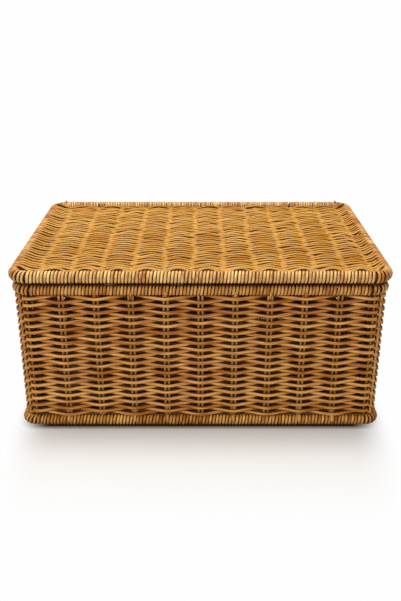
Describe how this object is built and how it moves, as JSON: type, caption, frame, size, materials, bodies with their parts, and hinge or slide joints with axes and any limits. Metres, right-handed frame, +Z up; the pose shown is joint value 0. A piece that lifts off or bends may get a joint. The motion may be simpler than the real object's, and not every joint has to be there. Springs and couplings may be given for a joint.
{
  "type": "woven lidded box",
  "caption": "Rectangular woven cane box with a flat hinged lid; closely wrapped hoops edge the foot, rim and lid, for storing small things",
  "frame": {"origin": "Middle of the footprint, on the surface the box stands on", "axes": "X runs along the width, Y from the front (-) to the hinged back (+), Z up"},
  "size_m": [0.4, 0.308, 0.178],
  "materials": {
    "lid_wrap": "satin",
    "rim_wrap": "satin",
    "foot_wrap": "satin",
    "core_cane": "matt",
    "stake_cane": "satin",
    "wall_cane": "satin",
    "lid_cane": "satin",
    "base_cane": "satin",
    "lashing_cane": "satin"
  },
  "bodies": {
    "basket": {"base_frame": "core_cane", "foot_wrapping": "foot_wrap", "base_weave": "base_cane", "front_stakes_1": "stake_cane", "front_stakes_2": "stake_cane", "front_stakes_3": "stake_cane", "front_stakes_4": "stake_cane", "front_stakes_5": "stake_cane", "front_stakes_6": "stake_cane", "front_stakes_7": "stake_cane", "front_stakes_8": "stake_cane", "front_stakes_9": "stake_cane", "back_stakes_1": "stake_cane", "back_stakes_2": "stake_cane", "back_stakes_3": "stake_cane", "back_stakes_4": "stake_cane", "back_stakes_5": "stake_cane", "back_stakes_6": "stake_cane", "back_stakes_7": "stake_cane", "back_stakes_8": "stake_cane", "back_stakes_9": "stake_cane", "left_stakes_1": "stake_cane", "left_stakes_2": "stake_cane", "left_stakes_3": "stake_cane", "left_stakes_4": "stake_cane", "left_stakes_5": "stake_cane", "left_stakes_6": "stake_cane", "left_stakes_7": "stake_cane", "right_stakes_1": "stake_cane", "right_stakes_2": "stake_cane", "right_stakes_3": "stake_cane", "right_stakes_4": "stake_cane", "right_stakes_5": "stake_cane", "right_stakes_6": "stake_cane", "right_stakes_7": "stake_cane", "corner_stakes_front_left": "stake_cane", "corner_stakes_front_right": "stake_cane", "corner_stakes_back_left": "stake_cane", "corner_stakes_back_right": "stake_cane", "front_weave": "wall_cane", "back_weave": "wall_cane", "left_weave": "wall_cane", "right_weave": "wall_cane", "rim_hoop": "core_cane", "rim_wrapping": "rim_wrap", "rim_wrapping_back": "rim_wrap", "hinge_lashing_left": "lashing_cane", "hinge_lashing_right": "lashing_cane"},
    "lid": {"lid_frame": "core_cane", "lid_wrapping": "lid_wrap", "lid_wrapping_back": "lid_wrap", "lid_weave": "lid_cane"}
  },
  "joints": [
    {"name": "lid_hinge", "type": "hinge", "parent": "basket", "child": "lid", "pos_m": [0, 0.1472, 0.1712], "axis": [-1, 0, 0], "range_deg": [0, 110]}
  ]
}
